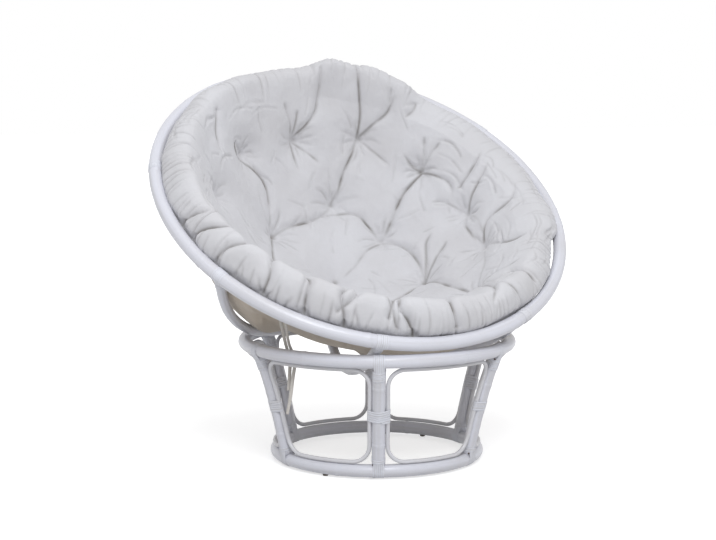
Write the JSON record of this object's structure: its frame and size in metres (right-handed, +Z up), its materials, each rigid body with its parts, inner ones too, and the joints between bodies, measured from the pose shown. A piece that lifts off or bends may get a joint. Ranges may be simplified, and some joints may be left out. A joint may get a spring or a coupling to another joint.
{
  "type": "papasan chair",
  "caption": "Round rattan bowl chair: a deep bowl of bent poles leans forward on a round legged stand with cane loops, and holds a thick tufted round cushion.",
  "frame": {"origin": "middle of the foot of the bounding box, on the floor that the glides stand on", "axes": "+Z up, -Y the way the sitter faces and the bowl leans, +X to the sitter's left"},
  "size_m": [1.1012, 0.9114, 1.0147],
  "materials": {
    "painted_pole": "satin",
    "painted_cane": "satin",
    "binding_skin": "satin",
    "cushion_cotton": "matte",
    "tie_tape": "matte",
    "glide_plastic": "matte"
  },
  "bodies": {
    "stand": {"stand_top_ring": "painted_pole", "stand_bottom_ring": "painted_pole", "leg_1": "painted_pole", "leg_2": "painted_pole", "leg_3": "painted_pole", "leg_4": "painted_pole", "leg_5": "painted_pole", "leg_6": "painted_pole", "leg_top_binding_1": "binding_skin", "leg_top_binding_2": "binding_skin", "leg_top_binding_3": "binding_skin", "leg_top_binding_4": "binding_skin", "leg_top_binding_5": "binding_skin", "leg_top_binding_6": "binding_skin", "leg_middle_binding_1": "binding_skin", "leg_middle_binding_2": "binding_skin", "leg_middle_binding_3": "binding_skin", "leg_middle_binding_4": "binding_skin", "leg_middle_binding_5": "binding_skin", "leg_middle_binding_6": "binding_skin", "leg_foot_binding_1": "binding_skin", "leg_foot_binding_2": "binding_skin", "leg_foot_binding_3": "binding_skin", "leg_foot_binding_4": "binding_skin", "leg_foot_binding_5": "binding_skin", "leg_foot_binding_6": "binding_skin", "cane_loop_1": "painted_cane", "cane_loop_2": "painted_cane", "cane_loop_3": "painted_cane", "cane_loop_4": "painted_cane", "cane_loop_5": "painted_cane", "cane_loop_6": "painted_cane", "glide_1": "glide_plastic", "glide_2": "glide_plastic", "glide_3": "glide_plastic", "glide_4": "glide_plastic", "glide_5": "glide_plastic"},
    "bowl": {"rim_hoop": "painted_pole", "lower_hoop": "painted_pole", "rib_1": "painted_pole", "rib_2": "painted_pole", "rib_3": "painted_pole", "rib_4": "painted_pole", "rib_5": "painted_pole", "rib_6": "painted_pole", "rib_7": "painted_pole", "rib_8": "painted_pole", "rim_binding_1": "binding_skin", "rim_binding_2": "binding_skin", "rim_binding_3": "binding_skin", "rim_binding_4": "binding_skin", "rim_binding_5": "binding_skin", "rim_binding_6": "binding_skin", "rim_binding_7": "binding_skin", "rim_binding_8": "binding_skin"},
    "cushion": {"cushion": "cushion_cotton", "cushion_tie_1": "tie_tape", "cushion_tie_2": "tie_tape"}
  },
  "joints": [
    {"name": "bowl_tilt", "type": "hinge", "parent": "stand", "child": "bowl", "pos_m": [0, -0.10197, 0.78253], "axis": [-1, 0, 0], "range_deg": [-1, 36.3], "deforming": ["cushion_tie_1", "cushion_tie_2"]},
    {"name": "cushion_lift", "type": "slide", "parent": "bowl", "child": "cushion", "axis": [0, -0.592, 0.8059], "range_m": [0, 0.35], "deforming": ["cushion_tie_1", "cushion_tie_2"]}
  ]
}
